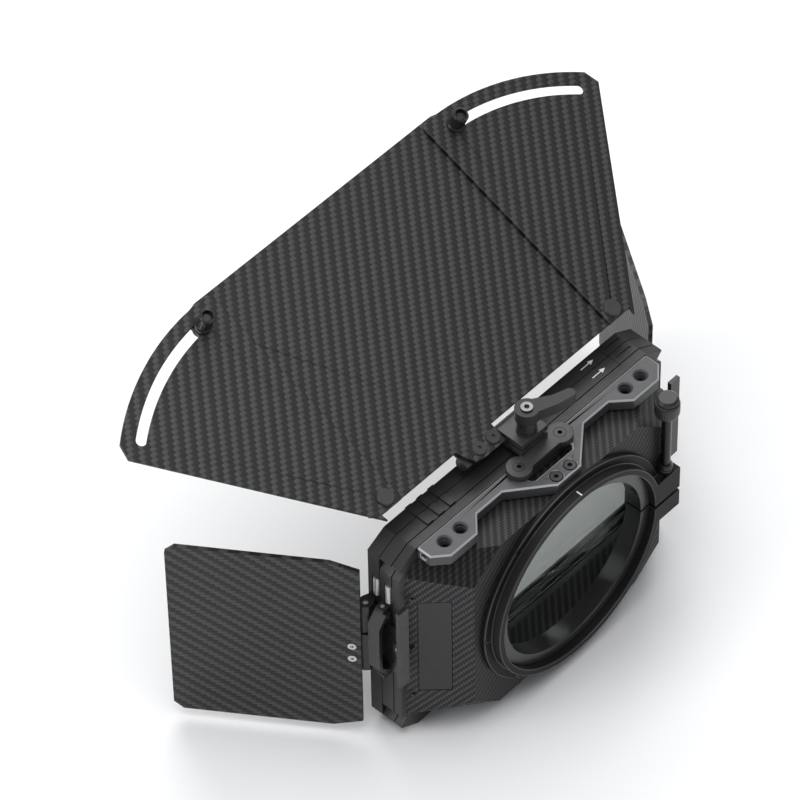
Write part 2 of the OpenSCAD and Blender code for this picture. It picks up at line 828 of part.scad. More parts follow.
module lever_outline() {
    circle(r = hub_r);
    hull() {
        translate([hub_r * 0.5, 0]) circle(r = hub_r * 0.72);
        translate([lever_l * 0.55, -0.6]) circle(r = 2.6);
    }
    hull() {
        translate([lever_l * 0.55, -0.6]) circle(r = 2.6);
        translate([lever_l - 2.2, 0.4]) circle(r = 2.2);
    }
}

module clamp_lever() {
    color(grey) translate([0, y_bolt, lever_z]) rotate([0, 0, 180 - lever_a])
        difference() {
            union() {
                cylinder(r = neck_r, h = neck_h);
                translate([0, 0, neck_h - 0.6]) cylinder(r1 = neck_r, r2 = hub_r, h = 0.6);
                translate([0, 0, neck_h]) linear_extrude(hub_h) lever_outline();
            }
            translate([0, 0, -1]) cylinder(r = bolt_r + pin_gap, h = neck_h + 2.6);
            translate([0, 0, neck_h + hub_h - 1.6]) cylinder(r = 2.6, h = 2);
            translate([0, 0, neck_h]) cylinder(r = 1.3, h = hub_h);
        }
}

module lever_cap_screw() {
    color(silver) translate([0, y_bolt, lever_z + neck_h + hub_h]) difference() {
        union() {
            translate([0, 0, -1.6]) cylinder(r = 2.5, h = 2.4);
            translate([0, 0, -hub_h + 1.8]) cylinder(r = 1.25, h = hub_h - 1);
        }
        translate([0, 0, -0.8]) cylinder(r = 1.2, h = 3, $fn = 6);
    }
}

// Trays

// The two ears on the left side that hold a latch's pins
module latch_ears() {
    for (z = [latch_top + latch_ear_gap, latch_bottom - latch_ear_gap - ear_t])
        difference() {
            translate([hw - 1, y_latch - 2, z]) cube([latch_pin_x + 3, 4, ear_t]);
            translate([hw + latch_pin_x, y_latch, z - 1])
                cylinder(r = latch_pin, h = ear_t + 2);
        }
}

module rear_tray_frame() {
    color(black) {
        tray_frame(y_rear_tray, true);
        latch_ears();
    }
}

module rear_tray_gate() {
    color(black) {
        tray_gate(y_rear_tray, true);
        right() latch_ears();
    }
}

module rear_filter() {
    color(glass) filter_pane(y_rear_tray);
}

module rear_roller_left() {
    color(silver) roller(y_rear_tray);
}

module rear_roller_right() {
    right() rear_roller_left();
}

// The latch's finger loop, an outline in XZ beside the tray
module latch_loop() {
    x0 = hw + latch_gap;
    x1 = hw + latch_out;
    x2 = x0 + latch_base;
    x3 = x1 - latch_t;
    difference() {
        polygon([[x0, latch_top], [hw + 3.4, latch_top], [x1, latch_top - latch_slant],
            [x1, latch_bottom + latch_slant], [hw + 3.4, latch_bottom], [x0, latch_bottom]]);
        polygon([[x2, latch_top - 3], [x2 + 1, latch_top - 3],
            [x3, latch_top - latch_slant - 0.6], [x3, latch_bottom + latch_slant + 0.6],
            [x2 + 1, latch_bottom + 3], [x2, latch_bottom + 3]]);
    }
}

module latch_screw_place() {
    translate([hw + latch_gap + latch_base + 1, y_rear_tray + latch_reach - latch_rear_t - 2.6,
        latch_screw_z]) rotate([0, 90, 0]) children();
}

// One rocker: the finger loop beside the tray, and the arm that reaches back along the body
module latch_left() {
    x0 = hw + latch_gap;
    low = latch_rear_z - latch_rear_h / 2;
    color(black) difference() {
        union() {
            plate(y_rear_tray, tray_t) latch_loop();
            translate([x0, y_rear_tray - 0.01, low])
                cube([latch_base, latch_reach, latch_rear_h * 0.6]);
            translate([x0, y_rear_tray + latch_reach - latch_rear_t, low])
                cube([latch_out - latch_t - latch_gap, latch_rear_t, latch_rear_h]);
            translate([x0, y_rear_tray + latch_reach - latch_rear_t - 5.2, latch_screw_z - 3])
                cube([latch_base + 1, 5.4, 6]);
        }
        for (z = [latch_top - 2.6, latch_bottom - 1])
            translate([hw + latch_pin_x, y_latch, z]) cylinder(r = latch_pin, h = 3.6);
        latch_screw_place() screw_seat(1.4, 0.7, latch_base + 1.6);
    }
}

module latch_right() {
    right() latch_left();
}

module latch_pins_left() {
    color(steel) for (z = [latch_top - 2.4, latch_bottom - latch_ear_gap - ear_t])
        translate([hw + latch_pin_x, y_latch, z])
            cylinder(r = latch_pin_r, h = ear_t + latch_ear_gap + 2.4);
}

module latch_pins_right() {
    right() latch_pins_left();
}

module latch_screw_left() {
    color(silver) latch_screw_place() flat_screw(1.4, 0.7, latch_base + 1);
}

module latch_screw_right() {
    right() latch_screw_left();
}

module front_tray_frame() {
    color(black) difference() {
        tray_frame(y_front_tray, false);
        bracket_screw_places() screw_seat(lug_head_r, 0.7, lug_screw_l);
    }
}

module front_tray_gate() {
    color(black) difference() {
        tray_gate(y_front_tray, false);
        right() bracket_screw_places() screw_seat(lug_head_r, 0.7, lug_screw_l);
    }
}

module front_filter() {
    color(glass) filter_pane(y_front_tray);
}

module front_roller_left() {
    color(silver) roller(y_front_tray);
}

module front_roller_right() {
    right() front_roller_left();
}

// Side flags

// Plan of a hinge lug, round the pin's axis and back to the tray's side
module lug_plan() {
    polygon([[-axis_out, 1.6], [-axis_out, -2], [-1.4, -3.1], [1.6, -3.1], [3, -1.2],
        [3, 1], [1.2, 2.8], [-1.4, 2.8]]);
}

// Children's z = 0 is the head's top, on the bracket's plate
module bracket_screw_places() {
    for (z = [barrel_low + lug_screw_in, barrel_high - lug_screw_in])
        translate([hw + 0.9, y_axis + 1.6, z]) rotate([0, 90, 0]) children();
}

module hinge_bracket_left() {
    color(black) difference() {
        translate([axis_x, y_axis, 0]) {
            difference() {
                union() {
                    translate([0, 0, barrel_high + lug_gap]) linear_extrude(upper_lug)
                        lug_plan();
                    translate([0, 0, barrel_low - lug_gap - lower_lug])
                        linear_extrude(lower_lug) lug_plan();
                    translate([-axis_out, -2, barrel_low - lug_gap - 1])
                        cube([0.9, 5.2, barrel_l + 2 * lug_gap + 2]);
                }
                translate([0, 0, -big / 2]) cylinder(r = hinge_r + pin_gap, h = big);
            }
        }
        bracket_screw_places() screw_seat(lug_head_r, 0.7, lug_screw_l);
    }
}

module hinge_bracket_right() {
    right() hinge_bracket_left();
}

module hinge_screws_left() {
    color(steel) bracket_screw_places() flat_screw(lug_head_r, 0.7, lug_screw_l);
}

module hinge_screws_right() {
    right() hinge_screws_left();
}

module hinge_pin_left() {
    color(steel) translate([axis_x, y_axis, barrel_low - lug_gap - lower_lug + 0.4])
        cylinder(r = hinge_r, h = barrel_l + 2 * lug_gap + lower_lug + upper_lug - 0.8);
}

module hinge_pin_right() {
    right() hinge_pin_left();
}

// The left side flag's own frame: -Y runs along the flag, +X is its outer face
module on_side_flag() {
    translate([axis_x, y_axis, 0]) rotate([0, 0, side_a]) children();
}

module side_screw_places() {
    for (s = [-1, 1])
        on_side_flag() translate([flag_x + side_t, -edge_set - 3.7,
            side_screw_z + s * side_pitch / 2]) rotate([0, 90, 0]) children();
}

module hinge_barrel_left() {
    color(silver) translate([axis_x, y_axis, barrel_low]) difference() {
        cylinder(r = barrel_r, h = barrel_l);
        translate([0, 0, -1]) cylinder(r = hinge_r + pin_gap, h = barrel_l + 2);
    }
}

module hinge_barrel_right() {
    right() hinge_barrel_left();
}

module hinge_leaf_left() {
    color(black) difference() {
        on_side_flag() translate([0, 0, barrel_low + 0.2]) linear_extrude(barrel_l - 0.4)
            difference() {
                union() {
                    translate([leaf_x, -leaf_l]) square([leaf_t, leaf_l]);
                    intersection() {
                        circle(r = barrel_r + 0.7);
                        translate([barrel_r * 0.25, -5]) square([10, 10]);
                    }
                    translate([barrel_r - 0.4, -1.6]) square([leaf_t + 0.6, 3.2]);
                }
                circle(r = barrel_r + 0.02);
                translate([flag_x, -5]) square(10);
            }
        side_screw_places() screw_seat(1.8, 0.9, side_t + leaf_t - 0.2);
    }
}

module hinge_leaf_right() {
    right() hinge_leaf_left();
}

module side_flag_left() {
    c = 4;
    d = 12;
    color(carbon) difference() {
        on_side_flag() translate([flag_x, 0, 0]) rotate([90, 0, 90]) linear_extrude(side_t)
            polygon([[-edge_set, side_h / 2 - c], [-edge_set - d, side_h / 2],
                [-edge_set - side_l + c, side_h / 2], [-edge_set - side_l, side_h / 2 - c],
                [-edge_set - side_l, -side_h / 2 + c], [-edge_set - side_l + c, -side_h / 2],
                [-edge_set - d, -side_h / 2], [-edge_set, -side_h / 2 + c]]);
        side_screw_places() screw_seat(1.8, 0.9, side_t + leaf_t - 0.2);
    }
}

module side_flag_right() {
    right() side_flag_left();
}

module side_flag_screws_left() {
    color(silver) side_screw_places() flat_screw(1.8, 0.9, side_t + leaf_t - 0.2);
}

module side_flag_screws_right() {
    right() side_flag_screws_left();
}

// Top flag

// The top flag's own frame: its pin is the X axis, -Y runs out along the flag
module on_top_flag() {
    translate([0, y_pin, z_pin]) rotate([-flag_tilt, 0, 0]) children();
}

module top_flag_pin() {
    color(silver) on_top_flag() translate([-jaw_x - 0.6, 0, 0]) rotate([0, 90, 0])
        cylinder(r = pin_r, h = jaw_x + 0.6 + tab_out - 1.4);
}

module flag_screw_places() {
    for (x = [tab_in + 3.6, tab_in + 11.6])
        on_top_flag() translate([x, 0, panel_up + panel_t + 0.9]) children();
}

module top_flag_hinge() {
    color(black) difference() {
        on_top_flag() difference() {
            translate([jaw_x + 0.4, 0, 0]) rotate([90, 0, 90])
                linear_extrude(tab_out - jaw_x - 0.8) union() {
                    circle(r = panel_up - 0.3);
                    translate([-panel_up, 0]) square([2 * panel_up, panel_up]);
                    translate([-panel_set - 6, panel_up - 1.2]) square([panel_set + 6, 1.2]);
                }
            translate([0, 0, 0]) rotate([0, 90, 0])
                cylinder(r = pin_r + pin_gap, h = tab_out - 1.2);
        }
    }
}

module top_flag_screws() {
    color(black) flag_screw_places() difference() {
        union() {
            translate([0, 0, -0.9]) cylinder(r1 = 3.2, r2 = 2.8, h = 0.9);
            translate([0, 0, -0.9 - panel_t + 0.1]) cylinder(r = 1.2, h = panel_t);
        }
        translate([0, 0, -0.7]) cylinder(r = 0.9, h = 2, $fn = 6);
    }
}

module top_flag_panel() {
    front = panel_set + panel_l;
    color(carbon) difference() {
        on_top_flag() translate([0, 0, panel_up]) linear_extrude(panel_t) mirror([0, 1])
            polygon([[-flag_side, panel_set + 2.4], [-flag_side + 3, panel_set],
                [tab_in, panel_set], [tab_in, -tab_back], [tab_out - 8, -tab_back],
                [tab_out - 4, -tab_back + 1], [tab_out, panel_set],
                [flag_side - 3, panel_set], [flag_side, panel_set + 2.4],
                [flag_side, front - 2], [flag_side - 8, front], [-flag_side + 8, front],
                [-flag_side, front - 2]]);
        flag_screw_places() translate([0, 0, -5]) cylinder(r = 1.25, h = 8);
        on_top_flag() for (s = [-1, 1]) {
            translate([s * pivot_x, -rivet_v, 0]) cylinder(r = rivet_r, h = 12);
            translate([s * stud_x, -stud_v, 0]) cylinder(r = stud_r, h = 12);
        }
    }
}

module wing_rivets() {
    color(black) on_top_flag() for (s = [-1, 1]) translate([s * pivot_x, -rivet_v, 0]) {
        translate([0, 0, nut_z]) cylinder(r1 = rivet_head, r2 = rivet_head - 0.5, h = 1);
        translate([0, 0, panel_up]) cylinder(r = rivet_r, h = nut_z - panel_up + 0.5);
        translate([0, 0, panel_up - 0.8]) cylinder(r = rivet_head - 0.4, h = 0.8);
    }
}

module wing_studs() {
    color(steel) on_top_flag() for (s = [-1, 1]) translate([s * stud_x, -stud_v, 0]) {
        translate([0, 0, panel_up]) cylinder(r = stud_r, h = nut_z + nut_h - 1.6 - panel_up);
        translate([0, 0, panel_up - 0.8]) cylinder(r = stud_r + 1.6, h = 0.8);
    }
}

// Wing outline about its rivet, with Y out along the flag
module wing_outline() {
    u = [sin(wing_a), cos(wing_a)];
    n = [cos(wing_a), -sin(wing_a)];
    reach = sqrt(wing_r * wing_r - wing_out * wing_out);
    tip = n * wing_out + u * reach;
    a_in = -asin(wing_in / wing_r);
    a_out = atan2(tip[0], tip[1]);
    difference() {
        polygon(concat([[-wing_in, -rivet_y - 0.4], [wing_out - 3, -rivet_y - 0.4],
            n * wing_out - u * 2.4], [n * wing_out + u * (reach - 4)],
            rev(arc(wing_r, a_in + 1, a_out - 3, 24)),
            [[-wing_in, wing_r * cos(a_in) - 1.4]]));
        circle(r = rivet_r + pin_gap);
        polygon(concat(arc(arc_r + arc_w / 2, stud_a, stud_a + swing, 24),
            rev(arc(arc_r - arc_w / 2, stud_a, stud_a + swing, 24))));
        for (a = [stud_a, stud_a + swing])
            translate(arc_r * [sin(a), cos(a)]) circle(r = arc_w / 2);
    }
}

module top_wing_left() {
    color(carbon) on_top_flag() translate([pivot_x, -rivet_v, wing_z])
        linear_extrude(wing_t) mirror([0, 1]) wing_outline();
}

module top_wing_right() {
    right() top_wing_left();
}

module thumb_nut_left() {
    color(black) on_top_flag() translate([stud_x, -stud_v, nut_z]) difference() {
        rotate_extrude() polygon([[stud_r + pin_gap, 0], [nut_r + 0.5, 0], [nut_r + 0.5, 1],
            [nut_r, 1.5], [nut_r, nut_h - 0.5], [nut_r - 0.5, nut_h], [nut_r - 0.9, nut_h],
            [nut_r - 0.9, nut_h - 2.4], [stud_r + pin_gap, nut_h - 2.4]]);
        for (i = [0:11])
            rotate([0, 0, i * 30]) translate([nut_r + 0.15, 0, 2.4])
                cylinder(r = 0.4, h = nut_h - 4, $fn = 16);
    }
}

module thumb_nut_right() {
    right() thumb_nut_left();
}

// Nodes

body_frame();
frame_screws();
rear_housing();
inlay_left();
inlay_right();
clamp_ring();
clamp_ring_screws();
inner_ring();
ring_clamp_screw();
ring_clamp_knob();
top_bracket();
bracket_screws();
flag_clamp();
flag_clamp_screws();
lever_bolt();
lever_washer();
clamp_lever();
lever_cap_screw();
rear_tray_frame();
rear_tray_gate();
rear_filter();
rear_roller_left();
rear_roller_right();
latch_left();
latch_right();
latch_pins_left();
latch_pins_right();
latch_screw_left();
latch_screw_right();
front_tray_frame();
front_tray_gate();
front_filter();
front_roller_left();
front_roller_right();
hinge_bracket_left();
hinge_bracket_right();
hinge_screws_left();
hinge_screws_right();
hinge_pin_left();
hinge_pin_right();
hinge_barrel_left();
hinge_barrel_right();
hinge_leaf_left();
hinge_leaf_right();
side_flag_left();
side_flag_right();
side_flag_screws_left();
side_flag_screws_right();
top_flag_pin();
top_flag_hinge();
top_flag_screws();
top_flag_panel();
wing_rivets();
wing_studs();
top_wing_left();
top_wing_right();
thumb_nut_left();
thumb_nut_right();
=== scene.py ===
"""Looks of a clip-on matte box: anodised metal, carbon twill, filter glass, marks and a plain studio."""

import json
import math

import bmesh
import bpy
from bpy.props import FloatProperty, FloatVectorProperty, PointerProperty
from mathutils import Matrix, Vector


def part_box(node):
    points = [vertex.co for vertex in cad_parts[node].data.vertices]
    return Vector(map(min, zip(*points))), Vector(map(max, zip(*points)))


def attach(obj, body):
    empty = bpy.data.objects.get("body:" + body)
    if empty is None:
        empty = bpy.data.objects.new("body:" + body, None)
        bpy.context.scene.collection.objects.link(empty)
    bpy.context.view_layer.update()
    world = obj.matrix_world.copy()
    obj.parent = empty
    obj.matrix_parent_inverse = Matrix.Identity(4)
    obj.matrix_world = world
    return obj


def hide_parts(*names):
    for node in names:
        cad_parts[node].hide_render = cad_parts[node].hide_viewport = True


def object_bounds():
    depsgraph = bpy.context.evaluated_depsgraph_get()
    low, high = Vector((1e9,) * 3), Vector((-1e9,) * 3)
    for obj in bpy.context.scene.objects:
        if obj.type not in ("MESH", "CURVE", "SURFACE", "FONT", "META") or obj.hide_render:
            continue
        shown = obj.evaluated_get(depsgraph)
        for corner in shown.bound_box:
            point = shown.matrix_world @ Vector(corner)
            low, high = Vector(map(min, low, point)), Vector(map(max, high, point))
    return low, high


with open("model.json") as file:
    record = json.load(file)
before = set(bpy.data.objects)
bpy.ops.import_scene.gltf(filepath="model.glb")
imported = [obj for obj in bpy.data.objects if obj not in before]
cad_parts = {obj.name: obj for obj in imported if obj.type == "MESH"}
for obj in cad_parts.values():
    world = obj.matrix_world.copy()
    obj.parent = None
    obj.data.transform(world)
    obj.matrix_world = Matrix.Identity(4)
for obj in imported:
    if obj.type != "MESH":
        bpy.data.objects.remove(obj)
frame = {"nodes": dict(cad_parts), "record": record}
CAD_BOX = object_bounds()

bl_info = {
    "name": "Matte box looks",
    "version": (1, 0, 0),
    "blender": (4, 5, 0),
    "location": "3D View > Sidebar > Matte box",
    "description": "Dresses a clip-on matte box and sets up its studio",
    "category": "Object",
}

MM = 0.001

# Specular levels: of most metal and cloth, of glass, print and the inner ring, and of the duller parts
SHEEN = 0.36
CLEAR = 0.5
ROD = 0.25
LEVER = 0.22
HOUSING = 0.18
MATT = 0.1

# Grains of the finishes: what each kind of speck, ring or smear measures
CLOUD = 14 * MM
WEAR = 2.2 * MM
TURNING = 0.22 * MM
POLISHING = 0.3 * MM
SMUDGE = 5 * MM
FIBRE = 0.16 * MM
SKIN = 18 * MM
SMEAR = 22 * MM
SPECKLE = 0.3 * MM

# Depths of the bumps
BLASTING_DEPTH = 0.012 * MM
TURNING_DEPTH = 0.006 * MM
NECK_DEPTH = 0.010 * MM
SHEET_DEPTH = 0.05 * MM
HOUSING_DEPTH = 0.03 * MM

# Directions of the part: across it, to its rear and up
ACROSS = Vector((1, 0, 0))
REARWARD = Vector((0, 1, 0))
UPRIGHT = Vector((0, 0, 1))

# Angles and places that the marks, the cloth and the pieces made here share with the solid parts
FLAG_TILT = math.radians(-22.6)
SIDE_ANGLE = math.radians(34.5)
TRAY_TOP = 55.0 * MM
NECK_TOP = 72.5 * MM
MIDDLE_SCREW = Vector((4.0, 6.9, 0)) * MM
MIDDLE_RIM = 3.0 * MM
MIDDLE_END = -3.95 * MM
LUG_TOP = 13.0 * MM
CLAMP_TOP = 48.2 * MM
CLAMP_MOUTH = 3.2 * MM
WINDOW_CORNER = (70.7 * MM, 49.15 * MM)
CORNER_CUT = (6.2 * MM, 4.8 * MM)
CORNER_FOOT = -26.2 * MM
CORNER_THICKNESS = 3.3 * MM
ARROW_START = -44 * MM

# The marks: the arrow's head and line, the width of the index line, and how thick the print is
ARROW_HEAD = 2.6 * MM
ARROW_WIDTH = 2.2 * MM
ARROW_LINE = 0.44 * MM
INDEX_WIDTH = 0.6 * MM
PRINT = 0.03 * MM

# Broken edges that aren't in the panel, from the finest screw to the ring clamp
FINE_EDGE = 0.1 * MM
SMALL_EDGE = 0.12 * MM
PIN_EDGE = 0.15 * MM
NUT_EDGE = 0.18 * MM
SOFT_EDGE = 0.2 * MM
ROUND_EDGE = 0.3 * MM
RING_EDGE = 0.4 * MM

# Angles between faces that count as a crease, and as a square edge
CREASE = math.radians(32)
SQUARE = math.radians(58)

# The knob and the bush of the ring clamp's screw: each radius and height in millimetres, and 1 where the
# knob's grooves reach
KNOB_RIBS = 40
KNOB_PROFILE = ((3.3, 0, 0), (4.2, 0.5, 0), (4.8, 1.3, 0), (5.15, 2.4, 0), (5.25, 3.2, 1), (5.25, 7.4, 1),
                (5.2, 7.6, 0), (4.9, 8.2, 0), (4.3, 8.4, 0), (4.3, 9.1, 0), (4.7, 9.3, 0), (4.7, 9.9, 0),
                (3.6, 11.0, 0))
BUSH_PROFILE = ((2.2, 0, 0), (3.2, 0, 0), (3.2, 1.3, 0), (2.8, 1.5, 0), (2.8, 1.9, 0), (3.2, 2.1, 0),
                (3.2, 3.0, 0), (2.5, 4.3, 0), (2.2, 4.3, 0))

# The ridge of a thread, as a share of its pitch, and how far it is rooted in the hole's wall
THREAD_DEPTH = 0.22
THREAD_ROOT = 0.06 * MM

# The studio, in metres: each light's place and size, the floor and the room. The sensor is in millimetres.
LIGHTS = {
    "top_light": ((0.1, 0.0, 1.7), (1.6, 1.6)),
    "front_light": ((-1.0, -1.15, 1.45), (1.5, 1.0)),
    "side_light": ((1.5, -0.6, 0.7), (0.9, 0.9)),
}
PAPER = 0.5
FLOOR_REACH = 6.0
ROOM_COLOUR = (0.93, 0.95, 1.0, 1)
SENSOR = 36
FAR = 50


# Sizes and colours that a user would change

class FinishColours(bpy.types.PropertyGroup):
    """Colours of the finishes."""
    black: FloatVectorProperty(
        name="Black anodising", description="Colour of the black anodised parts",
        subtype="COLOR", size=3, min=0, max=1, default=(0.0155, 0.0155, 0.0160))
    grey: FloatVectorProperty(
        name="Grey anodising", description="Colour of the top bracket",
        subtype="COLOR", size=3, min=0, max=1, default=(0.054, 0.0545, 0.0565))
    dark: FloatVectorProperty(
        name="Dark grey anodising", description="Colour of the flag clamp and its lever",
        subtype="COLOR", size=3, min=0, max=1, default=(0.031, 0.031, 0.032))
    # The bracket's pale broken edges: partly bare cut aluminium, partly a painted highlight
    edge: FloatVectorProperty(
        name="Broken edges", description="Colour of the bracket's bright broken edges",
        subtype="COLOR", size=3, min=0, max=1, default=(0.34, 0.34, 0.345))
    # Painted sheen: the tows along the sheet are painted light for the gloss their fibres catch; the dark
    # tows are the same fibres out of it
    tow_painted_sheen: FloatVectorProperty(
        name="Light tow", description="Colour of the carbon tows that lie along the sheet",
        subtype="COLOR", size=3, min=0, max=1, default=(0.042, 0.0425, 0.044))
    tow_dark: FloatVectorProperty(
        name="Dark tow", description="Colour of the carbon tows that lie across the sheet",
        subtype="COLOR", size=3, min=0, max=1, default=(0.0050, 0.0050, 0.0055))
    bright: FloatVectorProperty(
        name="Bright metal", description="Colour of the barrels, rollers and bright screws",
        subtype="COLOR", size=3, min=0, max=1, default=(0.60, 0.595, 0.585))
    steel: FloatVectorProperty(
        name="Steel", description="Colour of the plain steel pins and screws",
        subtype="COLOR", size=3, min=0, max=1, default=(0.46, 0.455, 0.445))
    glass: FloatVectorProperty(
        name="Glass", description="Tint of the filter glass",
        subtype="COLOR", size=3, min=0, max=1, default=(0.94, 0.965, 0.955))
    print_white: FloatVectorProperty(
        name="White print", description="Colour of the printed marks",
        subtype="COLOR", size=3, min=0, max=1, default=(0.72, 0.72, 0.71))


class PieceSizes(bpy.types.PropertyGroup):
    """Sizes of the details."""
    edge: FloatProperty(
        name="Broken edge", description="Width of the broken edges of machined parts",
        unit="LENGTH", min=0, default=0.25 * MM)
    bracket_edge: FloatProperty(
        name="Bracket edge", description="Width of the bracket's broken edges",
        unit="LENGTH", min=0, default=0.65 * MM)
    sheet_edge: FloatProperty(
        name="Sheet edge", description="Width of the broken edges of the carbon sheets",
        unit="LENGTH", min=0, default=0.18 * MM)
    top_tow: FloatVectorProperty(
        name="Top flag tow", description="Tow pitch of the top flag, across and out",
        unit="LENGTH", size=2, default=(1.49 * MM, 1.88 * MM))
    side_tow: FloatVectorProperty(
        name="Side flag tow", description="Tow pitch of a side flag, out and up",
        unit="LENGTH", size=2, default=(2.06 * MM, 1.45 * MM))
    body_tow: FloatVectorProperty(
        name="Body tow", description="Tow pitch of the housing, round and along it",
        unit="LENGTH", size=2, default=(1.0 * MM, 1.0 * MM))
    grain: FloatProperty(
        name="Blasting grain", description="Grain of the bead blasted metal",
        unit="LENGTH", min=0.00005, default=0.35 * MM)
    knurl: FloatProperty(
        name="Knurl", description="Depth of the grooves of the clamp's knob",
        unit="LENGTH", min=0, default=0.12 * MM)
    thread_pitch: FloatProperty(
        name="Thread pitch", description="Pitch of the bracket's threads, as a share of the hole's radius",
        min=0.2, max=1, default=0.5)
    arrow: FloatProperty(
        name="Arrow", description="Length of the arrow on a tray",
        unit="LENGTH", min=0.001, default=7.5 * MM)
    index: FloatProperty(
        name="Index line", description="Length of the index line on the ring clamp",
        unit="LENGTH", min=0.0005, default=2.9 * MM)


class StudioSettings(bpy.types.PropertyGroup):
    """Camera, floor and lights."""
    camera: FloatVectorProperty(
        name="Camera", description="Place of the camera", subtype="TRANSLATION",
        size=3, default=(1.08866, 0.94054, 1.75920))
    aim: FloatVectorProperty(
        name="Aim", description="Point that the camera looks at", subtype="TRANSLATION",
        size=3, default=(0.00525, -0.08948, 0.03808))
    lens: FloatProperty(
        name="Lens", description="Focal length of the camera, in millimetres",
        min=10, default=256)
    roll: FloatProperty(
        name="Roll", description="Roll of the camera", subtype="ANGLE",
        default=math.radians(-1.045))
    floor: FloatVectorProperty(
        name="Floor", description="Colour of the floor",
        subtype="COLOR", size=3, min=0, max=1, default=(0.90, 0.90, 0.90))
    sky: FloatProperty(
        name="Surroundings", description="Brightness of the room round the object",
        min=0, default=0.30)
    top_light: FloatProperty(
        name="Top light", description="Power of the overhead light",
        subtype="POWER", min=0, default=24)
    front_light: FloatProperty(
        name="Front light", description="Power of the light beyond the flags",
        subtype="POWER", min=0, default=20)
    side_light: FloatProperty(
        name="Side light", description="Power of the light at the camera's left",
        subtype="POWER", min=0, default=10)


def colours():
    return bpy.context.scene.matte_box_colours


def sizes():
    return bpy.context.scene.matte_box_sizes


def studio():
    return bpy.context.scene.matte_box_studio


# Shader nodes

class Finish:
    """A material in the making: a Principled shader and short ways to add nodes to it. gloss is its
    specular level, and any other socket that stays the same all over is given by name."""

    def __init__(self, name, gloss=SHEEN, **sockets):
        self.material = bpy.data.materials.new(name)
        self.material.use_nodes = True
        self.nodes = self.material.node_tree.nodes
        self.links = self.material.node_tree.links
        self.shader = self.nodes["Principled BSDF"]
        self.shader.inputs["Specular IOR Level"].default_value = gloss
        for socket, value in sockets.items():
            self.shader.inputs[socket.replace("_", " ")].default_value = value
        self.places = self.nodes.new("ShaderNodeTexCoord")

    def plug(self, socket, value):
        """Sets a socket to a number, or links it to another node's output."""
        if isinstance(value, bpy.types.NodeSocket):
            self.links.new(value, socket)
        else:
            socket.default_value = value

    def to(self, name, value):
        self.plug(self.shader.inputs[name], value)

    def math(self, operation, *values):
        node = self.nodes.new("ShaderNodeMath")
        node.operation = operation
        for socket, value in zip(node.inputs, values):
            self.plug(socket, value)
        return node.outputs[0]

    def vector(self, operation, *values, output=0):
        node = self.nodes.new("ShaderNodeVectorMath")
        node.operation = operation
        for socket, value in zip(node.inputs, values):
            self.plug(socket, value)
        return node.outputs[output]

    def along(self, direction, place=None):
        """The distance of a point along a direction, in metres."""
        place = place or self.places.outputs["Object"]
        return self.vector("DOT_PRODUCT", place, tuple(direction), output="Value")

    def stretched(self, factors):
        return self.vector("MULTIPLY", self.places.outputs["Object"], tuple(factors))

    def noise(self, size, detail=2.0, place=None):
        """Noise whose grains are about the given size, in metres."""
        node = self.nodes.new("ShaderNodeTexNoise")
        node.inputs["Scale"].default_value = 1 / size
        node.inputs["Detail"].default_value = detail
        self.links.new(place or self.places.outputs["Object"], node.inputs["Vector"])
        return node.outputs["Fac"]

    def span(self, value, low, high, from_low=0.0, from_high=1.0):
        node = self.nodes.new("ShaderNodeMapRange")
        for name, number in (("From Min", from_low), ("From Max", from_high),
                             ("To Min", low), ("To Max", high)):
            node.inputs[name].default_value = number
        self.links.new(value, node.inputs["Value"])
        return node.outputs["Result"]

    def mix(self, factor, first, second):
        """A number between two others."""
        node = self.nodes.new("ShaderNodeMix")
        node.data_type = "FLOAT"
        for name, value in (("Factor", factor), ("A", first), ("B", second)):
            self.plug(node.inputs[name], value)
        return node.outputs[0]

    def fibres(self, u, v, tow, stretch):
        """Streaks of single fibres, drawn out along one of the cloth's directions."""
        place = self.nodes.new("ShaderNodeCombineXYZ")
        self.links.new(self.math("MULTIPLY", u, tow[0] * stretch[0]), place.inputs["X"])
        self.links.new(self.math("MULTIPLY", v, tow[1] * stretch[1]), place.inputs["Y"])
        streaks = self.noise(FIBRE, 1.0, place.outputs["Vector"])
        return self.span(streaks, 0.0, 1.0, 0.3, 0.7)

    def blend(self, factor, first, second, kind="MIX"):
        node = self.nodes.new("ShaderNodeMix")
        node.data_type = "RGBA"
        node.blend_type = kind
        self.plug(node.inputs["Factor"], factor)
        for socket, value in ((node.inputs[6], first), (node.inputs[7], second)):
            self.plug(socket, value if isinstance(value, bpy.types.NodeSocket) else (*value, 1))
        return node.outputs[2]

    def bump(self, height, depth):
        node = self.nodes.new("ShaderNodeBump")
        node.inputs["Distance"].default_value = depth
        self.links.new(height, node.inputs["Height"])
        self.links.new(node.outputs["Normal"], self.shader.inputs["Normal"])


def shade(colour, factor):
    return tuple(min(1.0, part * factor) for part in colour)


def bright_edge(name):
    """The bracket's broken edges, painted pale: partly the bare cut aluminium, partly a painted highlight.
    The rims of its two middle screws keep the bracket's grey.
    """
    finish = Finish(name, Roughness=0.34)
    from_screw = finish.vector("SUBTRACT", finish.vector("ABSOLUTE", finish.places.outputs["Object"]),
                               MIDDLE_SCREW)
    reach = finish.vector("LENGTH", finish.vector("MULTIPLY", from_screw, (1, 1, 0)), output="Value")
    rim = finish.math("MULTIPLY", finish.math("LESS_THAN", reach, MIDDLE_RIM),
                      finish.math("LESS_THAN", finish.along(REARWARD), MIDDLE_END))
    grains = finish.noise(sizes().grain, 1.5)
    # Painted highlight, partly cut metal: the edges are painted pale whichever way they face
    pale = finish.blend(grains, shade(colours().edge, 0.9), shade(colours().edge, 1.1))
    finish.to("Base Color", finish.blend(rim, pale, colours().grey))
    return finish.material


